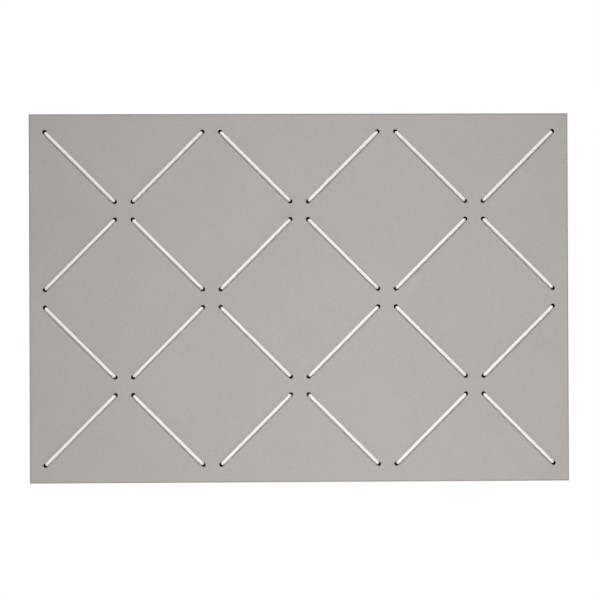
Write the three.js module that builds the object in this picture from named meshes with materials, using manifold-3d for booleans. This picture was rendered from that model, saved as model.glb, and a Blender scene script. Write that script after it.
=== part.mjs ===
// A wall-hung pin board: a linoleum sheet glued to a plywood core, with two elastic cords threaded
// through drilled holes, so that they lie across the face as diagonals in a grid of square cells.
//
// Millimetres. +X runs to the right across the face, +Z up, and the face looks along -Y.
// The origin lies in the plane of the wall, behind the middle of the board.

import * as THREE from 'three';
import { mergeVertices } from 'three/addons/utils/BufferGeometryUtils.js';
import Module from 'manifold-3d';

const wasm = await Module();
wasm.setup();

// Driving dimensions

const BOARD = {
  width: 600,
  height: 410,
  linoleumThickness: 6,
  coreThickness: 9,
};

// The cells between the holes share what the margins and the gaps leave of the board.
const GRID = {
  columns: 6,
  rows: 4,
  sideMargin: 17.5,
  topMargin: 20,
  gap: 20,
  holeClearance: 1.4,
  holeSides: 12,
};

const CORD = {
  diameter: 3.6,
  sides: 8,
  seat: 0.3,
  crossingGap: 0.5,
  innerBend: 0.7,
  bendSteps: 3,
  humpSteps: 6,
};

// An overhand knot: a trefoil wound on a ring, opened at one lobe. Shares are of the cord's diameter.
const KNOT = {
  ringShare: 1.31,
  lobeShare: 0.6,
  heightShare: 0.72,
  lead: 0.4,
  tail: 10,
  steps: 30,
};

const BATTEN = {
  height: 40,
  thickness: 12,
  fromBoardEdge: 40,
  endInset: 20,
};

const HANGER = {
  fromBattenEnd: 80,
  bayWidth: 16,
  length: 52,
  height: 28,
  thickness: 2,
  cornerRadius: 4,
  entryDiameter: 9,
  entryDrop: 5,
  slotWidth: 5,
  slotRise: 6,
  screwFromEnd: 7,
};

// Felt pads keep the hanger plates a little off the wall.
const PAD = {
  diameter: 14,
  wallClearance: 0.5,
  fromBattenEnd: 27,
  fromPlate: 35,
  sides: 24,
};

// Countersunk screws, with the heads a little under the surface that they hold.
const BATTEN_SCREW = {
  diameter: 3.5,
  headDiameter: 7,
  headRim: 0.4,
  bite: 4,
  tip: 3,
  recessSpan: 3.6,
  recessWidth: 1,
  recessDepth: 1.3,
  fromBattenEnd: 10,
  fromPlate: 10,
};

const HANGER_SCREW = {
  diameter: 3,
  headDiameter: 5.6,
  headRim: 0.3,
  bite: 9,
  tip: 2.5,
  recessSpan: 3,
  recessWidth: 0.8,
  recessDepth: 1,
};

const SCREW_SINK = 0.2;
const SCREW_CLEARANCE = 0.3;
const SCREW_SIDES = 12;
const OVERRUN = 1;
const ARC_STEPS = 6;

// Layers, counted from the wall towards the face

const padThickness = HANGER.thickness + PAD.wallClearance;
const battenBack = -padThickness;
const coreBack = battenBack - BATTEN.thickness;
const linoleumBack = coreBack - BOARD.coreThickness;
const face = linoleumBack - BOARD.linoleumThickness;

const cordRadius = CORD.diameter / 2;
const bendRadius = cordRadius + CORD.innerBend;
const holeRadius = (CORD.diameter + GRID.holeClearance) / 2;
const frontLine = face - CORD.seat - cordRadius;
const backLine = coreBack + CORD.seat + cordRadius;
const ringRadius = KNOT.ringShare * CORD.diameter;
const lobeRadius = KNOT.lobeShare * CORD.diameter;
const knotHalfHeight = KNOT.heightShare * CORD.diameter;

const boardRight = BOARD.width / 2;
const boardTop = BOARD.height / 2;
const cellWidth = (BOARD.width - 2 * GRID.sideMargin - (GRID.columns - 1) * GRID.gap) / GRID.columns;
const cellHeight = (BOARD.height - 2 * GRID.topMargin - (GRID.rows - 1) * GRID.gap) / GRID.rows;
const topBattenMiddle = boardTop - BATTEN.fromBoardEdge - BATTEN.height / 2;
const battenEnd = boardRight - BATTEN.endInset;
const hangerAcross = battenEnd - HANGER.fromBattenEnd;
const bayOuterEdge = hangerAcross + HANGER.bayWidth / 2;
const bayInnerEdge = hangerAcross - HANGER.bayWidth / 2;
const plateOuterEdge = hangerAcross + HANGER.length / 2;
const plateInnerEdge = hangerAcross - HANGER.length / 2;
const battenScrew = { ...BATTEN_SCREW, length: BATTEN.thickness + BATTEN_SCREW.bite };
const hangerScrew = { ...HANGER_SCREW, length: HANGER.thickness + HANGER_SCREW.bite };

const LEFT = new THREE.Vector3(-1, 0, 0);
const RIGHT = new THREE.Vector3(1, 0, 0);
const TO_FACE = new THREE.Vector3(0, -1, 0);
const TO_WALL = new THREE.Vector3(0, 1, 0);

const FINISH = {
  linoleum: { color: 0xb0aca8, roughness: 0.85, metalness: 0 },
  plywood: { color: 0xc9ab7c, roughness: 0.7, metalness: 0 },
  batten: { color: 0xcfae82, roughness: 0.7, metalness: 0 },
  steel: { color: 0xb9bcc0, roughness: 0.4, metalness: 1 },
  felt: { color: 0x5a5855, roughness: 0.95, metalness: 0 },
  elastic: { color: 0xf1eae7, roughness: 0.8, metalness: 0 },
};

// Solids and cuts

/** The signed volume of a closed indexed mesh, negative where its faces point inwards. */
function signedVolume(geometry) {
  const [a, b, c] = [0, 1, 2].map(() => new THREE.Vector3());
  const { array } = geometry.index;
  const { position } = geometry.attributes;
  let total = 0;
  for (let i = 0; i < array.length; i += 3) {
    a.fromBufferAttribute(position, array[i]);
    b.fromBufferAttribute(position, array[i + 1]);
    c.fromBufferAttribute(position, array[i + 2]);
    total += a.dot(b.cross(c));
  }
  return total / 6;
}

/** One closed body: shared corners merged, empty triangles dropped, faces pointing outwards. */
function closedBody(geometry) {
  const bare = geometry.clone();
  bare.deleteAttribute('normal');
  bare.deleteAttribute('uv');
  const merged = mergeVertices(bare);
  const kept = [];
  const { array } = merged.index;
  for (let i = 0; i < array.length; i += 3) {
    const [a, b, c] = array.slice(i, i + 3);
    if (a !== b && b !== c && c !== a) kept.push(a, b, c);
  }
  merged.setIndex(kept);
  if (signedVolume(merged) < 0) merged.setIndex(kept.reverse());
  return merged;
}

function toSolid(geometry) {
  const body = closedBody(geometry);
  return new wasm.Manifold(new wasm.Mesh({
    numProp: 3,
    vertProperties: new Float32Array(body.attributes.position.array),
    triVerts: new Uint32Array(body.index.array),
  }));
}

function fromSolid(solid) {
  const mesh = solid.getMesh();
  const geometry = new THREE.BufferGeometry();
  geometry.setAttribute('position', new THREE.BufferAttribute(mesh.vertProperties, 3));
  geometry.setIndex(new THREE.BufferAttribute(mesh.triVerts, 1));
  return geometry;
}

/** A geometry with the tools cut out of it, one after another. */
function cutBy(geometry, tools) {
  return fromSolid(tools.reduce((left, tool) => left.subtract(toSolid(tool)), toSolid(geometry)));
}

/** Points round a circle, clockwise, as a hole in a shape needs them. */
function circle(x, y, radius, sides) {
  return Array.from({ length: sides }, (_, i) => {
    const angle = -2 * Math.PI * i / sides;
    return new THREE.Vector2(x + radius * Math.cos(angle), y + radius * Math.sin(angle));
  });
}

/** A flat piece cut to a shape in X and Z, from its back face towards the board's face. */
function slab(shape, back, thickness) {
  const geometry = new THREE.ExtrudeGeometry(shape, {
    depth: thickness,
    bevelEnabled: false,
    curveSegments: ARC_STEPS,
  });
  return geometry.rotateX(Math.PI / 2).translate(0, back, 0);
}

function rectangle(left, bottom, right, top) {
  return new THREE.Shape([
    new THREE.Vector2(left, bottom),
    new THREE.Vector2(right, bottom),
    new THREE.Vector2(right, top),
    new THREE.Vector2(left, top),
  ]);
}

function makeMesh(name, geometry, finish) {
  const material = new THREE.MeshStandardMaterial(FINISH[finish]);
  const mesh = new THREE.Mesh(geometry, material);
  mesh.name = name;
  return mesh;
}

// The grid: nodes lie between the cells, and each hole is set back half a gap from its node

/** The place of a hole at a node's corner, where across and down are -1 or 1. */
function holeAt(column, row, across, down) {
  const left = -boardRight + GRID.sideMargin + column * (cellWidth + GRID.gap) - GRID.gap / 2;
  const top = boardTop - GRID.topMargin - row * (cellHeight + GRID.gap) + GRID.gap / 2;
  return new THREE.Vector3(left + across * GRID.gap / 2, 0, top - down * GRID.gap / 2);
}

/** Both ends of a diagonal stretch across a cell, walked from one node to the next. */
function stretchEnds(from, to) {
  const across = Math.sign(to.column - from.column);
  const down = Math.sign(to.row - from.row);
  return [
    holeAt(from.column, from.row, across, down),
    holeAt(to.column, to.row, -across, -down),
  ];
}

/** The nodes that a cord meets as it bounces from one corner of the grid to another. */
function bouncingNodes(startColumn) {
  const nodes = [{ column: startColumn, row: 0 }];
  let across = startColumn === 0 ? 1 : -1;
  let down = 1;
  const isCorner = ({ column, row }) =>
    (column === 0 || column === GRID.columns) && (row === 0 || row === GRID.rows);
  do {
    const { column, row } = nodes.at(-1);
    if (column + across < 0 || column + across > GRID.columns) across = -across;
    if (row + down < 0 || row + down > GRID.rows) down = -down;
    nodes.push({ column: column + across, row: row + down });
  } while (!isCorner(nodes.at(-1)));
  return nodes;
}

const cordNodes = { a: bouncingNodes(0), b: bouncingNodes(GRID.columns) };

/** Every stretch of a cord across the face, as pairs of holes. */
function stretchesOf(nodes) {
  return nodes.slice(1).map((node, i) => stretchEnds(nodes[i], node));
}

const allHoles = Object.values(cordNodes).flatMap(stretchesOf).flat();

// Curves that a cord follows

/** A quarter turn from one heading into another at right angles to it. */
class QuarterBend extends THREE.Curve {
  constructor(start, heading, turn) {
    super();
    Object.assign(this, { start, heading, turn });
  }

  getPoint(share, target = new THREE.Vector3()) {
    const angle = share * Math.PI / 2;
    return target.copy(this.start)
      .addScaledVector(this.heading, bendRadius * Math.sin(angle))
      .addScaledVector(this.turn, bendRadius * (1 - Math.cos(angle)));
  }

  getTangent(share, target = new THREE.Vector3()) {
    const angle = share * Math.PI / 2;
    return target.set(0, 0, 0)
      .addScaledVector(this.heading, Math.cos(angle))
      .addScaledVector(this.turn, Math.sin(angle));
  }
}

/** A run behind the board that rises over the cord that it crosses. */
class Hump extends THREE.Curve {
  constructor(start, end, rise) {
    super();
    Object.assign(this, { start, end, rise });
  }

  getPoint(share, target = new THREE.Vector3()) {
    const lift = this.rise * Math.sin(Math.PI * share) ** 2;
    return target.lerpVectors(this.start, this.end, share).addScaledVector(TO_WALL, lift);
  }

  getTangent(share, target = new THREE.Vector3()) {
    const lift = this.rise * Math.PI * Math.sin(2 * Math.PI * share);
    return target.subVectors(this.end, this.start).addScaledVector(TO_WALL, lift).normalize();
  }
}

/** The knot's three lobes, from the tail's crossing round to the lead's. */
class Trefoil extends THREE.Curve {
  constructor(outwards) {
    super();
    this.axes = [outwards, TO_WALL.clone().cross(outwards), TO_WALL];
    this.centre = new THREE.Vector3();
  }

  getPoint(share, target = new THREE.Vector3()) {
    const turn = THREE.MathUtils.lerp(Math.PI / 6, 11 * Math.PI / 6, share);
    const radius = ringRadius + lobeRadius * Math.cos(3 * turn);
    const [out, side, up] = this.axes;
    return target.copy(this.centre)
      .addScaledVector(out, radius * Math.cos(2 * turn))
      .addScaledVector(side, radius * Math.sin(2 * turn))
      .addScaledVector(up, knotHalfHeight * Math.sin(3 * turn));
  }
}

/** The same curve walked the other way. */
class Backwards extends THREE.Curve {
  constructor(curve) {
    super();
    this.curve = curve;
  }

  getPoint(share, target = new THREE.Vector3()) {
    return this.curve.getPoint(1 - share, target);
  }

  getTangent(share, target = new THREE.Vector3()) {
    return this.curve.getTangent(1 - share, target).negate();
  }
}

/** Curves laid end to end, each with its own number of equal steps. */
class Route extends THREE.Curve {
  constructor(legs) {
    super();
    this.legs = legs;
    this.steps = legs.reduce((sum, leg) => sum + leg.steps, 0);
  }

  legAt(share) {
    let step = share * this.steps;
    for (const leg of this.legs) {
      if (step <= leg.steps || leg === this.legs.at(-1)) return [leg.curve, step / leg.steps];
      step -= leg.steps;
    }
    return null;
  }

  getPoint(share, target = new THREE.Vector3()) {
    const [curve, along] = this.legAt(share);
    return curve.getPoint(along, target);
  }

  getTangent(share, target = new THREE.Vector3()) {
    const [curve, along] = this.legAt(share);
    return curve.getTangent(along, target);
  }

  getUtoTmapping(share) {
    return share;
  }

  reversedLegs() {
    return this.legs.map(({ curve, steps }) => ({ curve: new Backwards(curve), steps })).reverse();
  }
}

const line = (start, end) => ({ curve: new THREE.LineCurve3(start, end), steps: 1 });
const atDepth = (place, depth) => new THREE.Vector3(place.x, depth, place.z);

/** From a line on one side of the board, round the hole's edge and to the depth where it is straight. */
function bendInto(hole, heading, into, depth) {
  const start = atDepth(hole, depth).addScaledVector(heading, -bendRadius);
  return { curve: new QuarterBend(start, heading, into), steps: CORD.bendSteps };
}

/** Up out of a hole and round its edge, onto a line on that side of the board. */
function bendOut(hole, out, heading, depth) {
  const start = atDepth(hole, depth).addScaledVector(out, -bendRadius);
  return { curve: new QuarterBend(start, out, heading), steps: CORD.bendSteps };
}

const endOf = (leg) => leg.curve.getPoint(1);
const startOf = (leg) => leg.curve.getPoint(0);

/** Legs joined up by straight lines wherever one doesn't start where the last one ended. */
function joinLegs(legs) {
  const joined = [legs[0]];
  for (const leg of legs.slice(1)) {
    const here = endOf(joined.at(-1));
    if (here.distanceTo(startOf(leg)) > 1e-6 * CORD.diameter) joined.push(line(here, startOf(leg)));
    joined.push(leg);
  }
  return joined;
}

/** The knotted end behind a corner hole, from the tip of its tail to the bend into the hole. */
function knottedEnd(hole, outwards) {
  const lobes = new Trefoil(outwards);
  const leadHeading = lobes.getTangent(1);
  const tailHeading = lobes.getTangent(0).negate();
  const reach = lobes.getPoint(1).addScaledVector(leadHeading, KNOT.lead + bendRadius);
  lobes.centre.set(hole.x - reach.x, backLine + knotHalfHeight, hole.z - reach.z);
  const tip = lobes.getPoint(0).addScaledVector(tailHeading, KNOT.tail);
  return [
    line(tip, lobes.getPoint(0)),
    { curve: lobes, steps: KNOT.steps },
    bendInto(hole, leadHeading, TO_FACE, backLine),
  ];
}

/** A run behind the board between two holes at one node; rising runs hump over falling ones. */
function backRun(from, to) {
  const heading = to.clone().sub(from).normalize();
  const start = atDepth(from, backLine).addScaledVector(heading, bendRadius);
  const end = atDepth(to, backLine).addScaledVector(heading, -bendRadius);
  const isRising = Math.sign(heading.x) * Math.sign(heading.z) > 0;
  const over = { curve: new Hump(start, end, CORD.diameter + CORD.crossingGap), steps: CORD.humpSteps };
  return [
    bendOut(from, TO_WALL, heading, backLine),
    isRising ? over : line(start, end),
    bendInto(to, heading, TO_FACE, backLine),
  ];
}

/** A stretch across the face, out of one hole and into the next. */
function frontStretch(from, to) {
  const heading = to.clone().sub(from).normalize();
  return [
    bendOut(from, TO_FACE, heading, frontLine),
    bendInto(to, heading, TO_WALL, frontLine),
  ];
}

function cordRoute(nodes) {
  const stretches = stretchesOf(nodes);
  const outwards = (hole) => (hole.x < 0 ? LEFT : RIGHT);
  const first = stretches[0][0];
  const last = stretches.at(-1)[1];
  const legs = knottedEnd(first, outwards(first));
  stretches.forEach(([from, to], i) => {
    if (i > 0) legs.push(...backRun(stretches[i - 1][1], from));
    legs.push(...frontStretch(from, to));
  });
  legs.push(...new Route(knottedEnd(last, outwards(last))).reversedLegs());
  return new Route(joinLegs(legs));
}

const cordRoutes = { a: cordRoute(cordNodes.a), b: cordRoute(cordNodes.b) };

/** Points a third of a diameter apart along a route, each with its distance from the start. */
function walk(route, cord) {
  const points = [];
  let travelled = 0;
  for (const { curve } of route.legs) {
    const length = curve.getLength();
    const count = Math.ceil(3 * length / CORD.diameter);
    for (let i = 0; i < count; i += 1) {
      points.push({ cord, at: travelled + length * i / count, place: curve.getPoint(i / count) });
    }
    travelled += length;
  }
  return { points, length: travelled };
}

/** Prints the cords' lengths, and the least gap of the cords to themselves and to each other. */
function reportCords() {
  const walks = Object.entries(cordRoutes).map(([cord, route]) => walk(route, cord));
  const points = walks.flatMap((walked) => walked.points);
  const apart = 2.5 * CORD.diameter;
  let least = Infinity;
  points.forEach((one, i) => {
    for (const other of points.slice(i + 1)) {
      if (one.cord === other.cord && other.at - one.at < apart) continue;
      least = Math.min(least, one.place.distanceTo(other.place));
    }
  });
  console.log('cord lengths', walks.map((walked) => walked.length.toFixed(0)).join(' and '), 'mm');
  console.log('least gap between cords', (least - CORD.diameter).toFixed(2), 'mm');
}

reportCords();

function makeCord(name, route) {
  const section = new THREE.Shape(circle(0, 0, cordRadius, CORD.sides));
  const geometry = new THREE.ExtrudeGeometry(section, { steps: route.steps, extrudePath: route });
  return makeMesh(name, closedBody(geometry), 'elastic');
}

// Screws and their holes, turned about Y, with the head's top at zero and the tip towards the face

/** The screw's outline, swollen by a clearance and carried on above the head by a lift. */
function screwProfile(screw, clearance, lift) {
  const shank = screw.diameter / 2;
  const head = screw.headDiameter / 2;
  const neck = -screw.headRim - (head - shank);
  return [
    [0, lift],
    [head + clearance, lift],
    [head + clearance, -screw.headRim],
    [shank + clearance, neck],
    [shank + clearance, screw.tip - screw.length],
    [0, -screw.length - clearance],
  ].map(([across, along]) => new THREE.Vector2(across, along));
}

function screwHole(screw, place) {
  const profile = screwProfile(screw, SCREW_CLEARANCE, OVERRUN);
  return new THREE.LatheGeometry(profile, SCREW_SIDES).translate(place.x, place.y, place.z);
}

function makeScrew(name, screw, place) {
  const blank = new THREE.LatheGeometry(screwProfile(screw, 0, 0), SCREW_SIDES);
  const depth = 2 * screw.recessDepth;
  const blades = [
    new THREE.BoxGeometry(screw.recessSpan, depth, screw.recessWidth),
    new THREE.BoxGeometry(screw.recessWidth, depth, screw.recessSpan),
  ];
  const geometry = cutBy(blank, blades).translate(place.x, place.y, place.z);
  return makeMesh(name, geometry, 'steel');
}

/** Places in a row along X, as many as asked for, evenly from the first to the last. */
function inARow(first, last, count, height, depth) {
  return Array.from({ length: count }, (_, i) => {
    const share = count > 1 ? i / (count - 1) : 0;
    return new THREE.Vector3(THREE.MathUtils.lerp(first, last, share), depth, height);
  });
}

/** Each batten's ends, and where its first and last screws go. */
const battens = {
  top_left: {
    left: -battenEnd,
    right: -bayOuterEdge,
    middle: topBattenMiddle,
    firstScrew: -(battenEnd + plateOuterEdge) / 2,
    screws: 1,
  },
  top_middle: {
    left: -bayInnerEdge,
    right: bayInnerEdge,
    middle: topBattenMiddle,
    firstScrew: -plateInnerEdge + BATTEN_SCREW.fromPlate,
    screws: 3,
  },
  top_right: {
    left: bayOuterEdge,
    right: battenEnd,
    middle: topBattenMiddle,
    firstScrew: (battenEnd + plateOuterEdge) / 2,
    screws: 1,
  },
  bottom: {
    left: -battenEnd,
    right: battenEnd,
    middle: -topBattenMiddle,
    firstScrew: -battenEnd + BATTEN_SCREW.fromBattenEnd,
    screws: 4,
  },
};

function battenScrewPlaces({ middle, firstScrew, screws }) {
  return inARow(firstScrew, -firstScrew, screws, middle, battenBack - SCREW_SINK);
}

const hangers = { left: -hangerAcross, right: hangerAcross };
const plateBack = battenBack + HANGER.thickness;

function hangerScrewPlaces(across) {
  const reach = HANGER.length / 2 - HANGER.screwFromEnd;
  return inARow(across - reach, across + reach, 2, topBattenMiddle, plateBack - SCREW_SINK);
}

const battenScrews = Object.values(battens).flatMap(battenScrewPlaces);
const hangerScrews = Object.values(hangers).flatMap(hangerScrewPlaces);

// The pieces

/** The board's outline with every cord hole through it. */
function drilledOutline() {
  const outline = rectangle(-boardRight, -boardTop, boardRight, boardTop);
  outline.holes = allHoles.map(({ x, z }) => new THREE.Path(circle(x, z, holeRadius, GRID.holeSides)));
  return outline;
}

function makeLinoleum() {
  const sheet = slab(drilledOutline(), linoleumBack, BOARD.linoleumThickness);
  return makeMesh('linoleum_face', closedBody(sheet), 'linoleum');
}

function makeCore() {
  const panel = slab(drilledOutline(), coreBack, BOARD.coreThickness);
  const pilots = battenScrews.map((place) => screwHole(battenScrew, place));
  return makeMesh('core_panel', cutBy(panel, pilots), 'plywood');
}

function makeBatten(name, batten) {
  const low = batten.middle - BATTEN.height / 2;
  const high = batten.middle + BATTEN.height / 2;
  const blank = slab(rectangle(batten.left, low, batten.right, high), battenBack, BATTEN.thickness);
  const tools = [
    ...battenScrewPlaces(batten).map((place) => screwHole(battenScrew, place)),
    ...hangerScrews.map((place) => screwHole(hangerScrew, place)),
  ];
  return makeMesh(`batten_${name}`, cutBy(blank, tools), 'batten');
}

/** A round entry for the head of the wall's screw, and a slot above it for the screw's neck. */
function keyhole(across, middle) {
  const entry = HANGER.entryDiameter / 2;
  const half = HANGER.slotWidth / 2;
  const start = Math.acos(half / entry);
  const path = new THREE.Path();
  path.moveTo(across - half, middle + HANGER.slotRise);
  path.absarc(across, middle + HANGER.slotRise, half, Math.PI, 0, true);
  path.absarc(across, middle - HANGER.entryDrop, entry, start, Math.PI - start, true);
  path.closePath();
  return path;
}

function plateOutline(across, middle) {
  const { length, height, cornerRadius } = HANGER;
  const right = length / 2 - cornerRadius;
  const top = height / 2 - cornerRadius;
  const quarter = Math.PI / 2;
  const outline = new THREE.Shape();
  [[1, -1], [1, 1], [-1, 1], [-1, -1]].forEach(([xSide, ySide], i) => {
    const angle = (i - 1) * quarter;
    const [x, y] = [across + xSide * right, middle + ySide * top];
    outline.absarc(x, y, cornerRadius, angle, angle + quarter, false);
  });
  outline.closePath();
  return outline;
}

function makeHangerPlate(side, across) {
  const outline = plateOutline(across, topBattenMiddle);
  outline.holes = [keyhole(across, topBattenMiddle)];
  const blank = slab(outline, plateBack, HANGER.thickness);
  const holes = hangerScrewPlaces(across).map((place) => screwHole(hangerScrew, place));
  return makeMesh(`hanger_plate_${side}`, cutBy(blank, holes), 'steel');
}

function makePad(name, across, middle) {
  const radius = PAD.diameter / 2;
  const disc = new THREE.CylinderGeometry(radius, radius, padThickness, PAD.sides);
  disc.translate(across, -padThickness / 2, middle);
  return makeMesh(`wall_pad_${name}`, closedBody(disc), 'felt');
}

const board = new THREE.Group();
board.add(makeLinoleum(), makeCore());
for (const [name, batten] of Object.entries(battens)) {
  board.add(makeBatten(name, batten));
  battenScrewPlaces(batten).forEach((place, i) => {
    const number = batten.screws > 1 ? `_${i + 1}` : '';
    board.add(makeScrew(`batten_screw_${name}${number}`, battenScrew, place));
  });
}
for (const [side, across] of Object.entries(hangers)) {
  board.add(makeHangerPlate(side, across));
  hangerScrewPlaces(across).forEach((place, i) => {
    board.add(makeScrew(`hanger_screw_${side}_${i + 1}`, hangerScrew, place));
  });
}
const topPads = plateInnerEdge - PAD.fromPlate;
const bottomPads = battenEnd - PAD.fromBattenEnd;
for (const [side, sign] of [['left', -1], ['right', 1]]) {
  board.add(makePad(`top_${side}`, sign * topPads, topBattenMiddle));
  board.add(makePad(`bottom_${side}`, sign * bottomPads, -topBattenMiddle));
}
board.add(makeCord('elastic_cord_a', cordRoutes.a));
board.add(makeCord('elastic_cord_b', cordRoutes.b));

export default board;
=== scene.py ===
"""A wall-hung pin board: grey linoleum on plywood, with white elastic cords laced across its face.

Metres, in the frame of the CAD model: +X right across the face, +Z up, and the face looks along -Y.
The origin lies in the plane of the wall, behind the middle of the board.
"""

import math

import bmesh
import bpy
from mathutils import Color, Matrix, Vector, kdtree, noise


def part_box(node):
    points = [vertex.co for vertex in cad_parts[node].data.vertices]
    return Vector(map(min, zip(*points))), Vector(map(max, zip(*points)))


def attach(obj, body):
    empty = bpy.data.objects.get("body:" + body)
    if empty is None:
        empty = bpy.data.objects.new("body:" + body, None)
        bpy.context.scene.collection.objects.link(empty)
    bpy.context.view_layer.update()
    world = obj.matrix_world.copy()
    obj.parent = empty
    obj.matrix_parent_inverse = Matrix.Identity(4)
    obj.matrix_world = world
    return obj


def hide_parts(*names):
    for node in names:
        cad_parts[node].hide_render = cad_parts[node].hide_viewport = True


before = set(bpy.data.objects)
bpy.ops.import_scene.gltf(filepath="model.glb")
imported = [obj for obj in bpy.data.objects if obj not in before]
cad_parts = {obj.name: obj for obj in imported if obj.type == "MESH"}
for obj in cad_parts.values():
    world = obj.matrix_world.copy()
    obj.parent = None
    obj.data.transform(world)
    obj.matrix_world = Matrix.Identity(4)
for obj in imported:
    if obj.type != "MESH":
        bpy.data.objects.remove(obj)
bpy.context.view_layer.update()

BODY = "root"
MM = 0.001
TO_WALL = Vector((0, 1, 0))

# How near points are that merge, in most pieces and along a cord's seam, or that count as level

MERGE, SEAM, NEAR = 0.002 * MM, 0.00005 * MM, 0.01 * MM

# The CAD model's layers and sheets

sheet_low, sheet_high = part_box("linoleum_face")
core_low, core_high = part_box("core_panel")
face_y, core_back = sheet_low.y, core_high.y
half_width, half_height = sheet_high.x, sheet_high.z

# The grid of cells and holes

COLUMNS, ROWS = 6, 4
SIDE_MARGIN, TOP_MARGIN, GAP = 17.5 * MM, 20 * MM, 20 * MM
HOLE_RADIUS, HOLE_STEPS = 2.5 * MM, 40

# The elastic cord: its radius taut, slack in the knots, squeezed at a rim and swollen in a hole

CORD_RADIUS, SLACK_RADIUS = 1.8 * MM, 1.98 * MM
SQUEEZED_RADIUS, SQUEEZE_REACH = 1.5 * MM, 1.2 * MM
SWOLLEN_RADIUS, SWELL_DEPTH, SWELL_REACH = 2.42 * MM, 11 * MM, 3.2 * MM
SLACK_FROM, SLACK_TO = -1 * MM, 3 * MM

# Its half thickness and half width where a rim presses it flat, and how far from the rim that goes

FLAT_HALF, WIDE_HALF = 1.2 * MM, 1.65 * MM
FLAT_FROM, FLAT_REACH = 1.6 * MM, 4.5 * MM

# Its way: how far it is pressed into the board, how it bends, and how finely its line is cut

PRESS = 0.04 * MM
RIM_BEND, CROSSING_BEND, INNER_BEND = 2.0 * MM, 7 * MM, 3 * MM
HUG_DEPTH = 5 * MM
BEND_STEP, BEND_ROOM = math.radians(9), 0.49
LEAST_TURN = 0.02
LONG_STEP, SHORT_STEP = 5 * MM, 0.7 * MM
CORD_SIDES = 24
CAP_STEPS, CAP_BULGE = 5, 0.55

# Its knots, of the size that they have in the CAD model

KNOT_RING, KNOT_LOBE, KNOT_HALF_HEIGHT = 4.716 * MM, 2.16 * MM, 2.592 * MM
KNOT_LEAD, KNOT_REACH, KNOT_STEPS = 0.4 * MM, 2.5 * MM, 72
KNOT_TAIL, TAIL_DROOP = 10 * MM, Vector((0, -0.08, -0.05))
TAIL_SHARES = (1.0, 0.8, 0.6, 0.4, 0.2)

# Edges and corners of the flat pieces

SHEET_ARRIS, CORE_ARRIS, RAIL_ARRIS, PLATE_ARRIS = 0.35 * MM, 0.3 * MM, 1.5 * MM, 0.3 * MM
HOLE_ARRIS = 0.1 * MM
BORDER = 0.25 * MM
ARRIS_STEPS = 3
RIM_ANGLE, SQUARELY = math.radians(60), 0.9
CREASE, SCREW_CREASE, CORD_CREASE = (math.radians(angle) for angle in (40, 35, 80))

# Screws, of the sizes that they have in the CAD model

RAIL_SCREW = {
    "length": 16 * MM, "shank": 1.75 * MM, "head": 3.5 * MM, "rim": 0.4 * MM, "tip": 3 * MM,
    "recess_span": 3.6 * MM, "recess_width": 1.0 * MM, "recess_depth": 1.3 * MM,
}
PLATE_SCREW = {
    "length": 11 * MM, "shank": 1.5 * MM, "head": 2.8 * MM, "rim": 0.3 * MM, "tip": 2.5 * MM,
    "recess_span": 3.0 * MM, "recess_width": 0.8 * MM, "recess_depth": 1.0 * MM,
}
SCREW_FIT = 0.12 * MM
SCREW_STEPS = 32
HEAD_EDGE = 0.15 * MM

# Their threads: the plain neck, the root's share of the shank, the ridge, and how it thins out

PLAIN_NECK, THREAD_START = 0.8 * MM, 1.2 * MM
THREAD_ROOT, THREAD_PITCH, THREAD_RIDGE, THREAD_SUNK = 0.68, 1.4 * MM, 0.35 * MM, 0.1 * MM
THREAD_STEPS, THREAD_FADE, THREAD_END, THREAD_THINNEST = 20, 3 * MM, 0.35, 0.3

# The two steps of a cross recess: shares of its depth, and of the width that is left at their feet

RECESS_STEPS = ((0.55, 0.8), (0.45, 0.55))

# Keyhole plates and felt pads

PLATE_CORNER, CORNER_STEPS = 4 * MM, 8
ENTRY_RADIUS, ENTRY_DROP, ENTRY_STEPS = 4.5 * MM, 5 * MM, 32
SLOT_HALF, SLOT_RISE, SLOT_STEPS = 2.5 * MM, 6 * MM, 16
KEYHOLE_BORDER = 1.05
FELT_ROUND, FELT_ROUND_STEPS, FELT_STEPS = 0.6 * MM, 4, 64
FELT_RINGS, FELT_EDGE = (0, 0.2, 0.4, 0.6, 0.78), 0.8

# The felt's lumps: how fine they are, and how high

FELT_LUMPS = ((420, 0.14 * MM), (1500, 0.1 * MM))


# Colours and nodes


def shade(red, green, blue):
    """A colour as a screen shows it, from 0 to 255, turned into what a shader takes."""
    return (*Color((red / 255, green / 255, blue / 255)).from_srgb_to_scene_linear(), 1.0)


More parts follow.
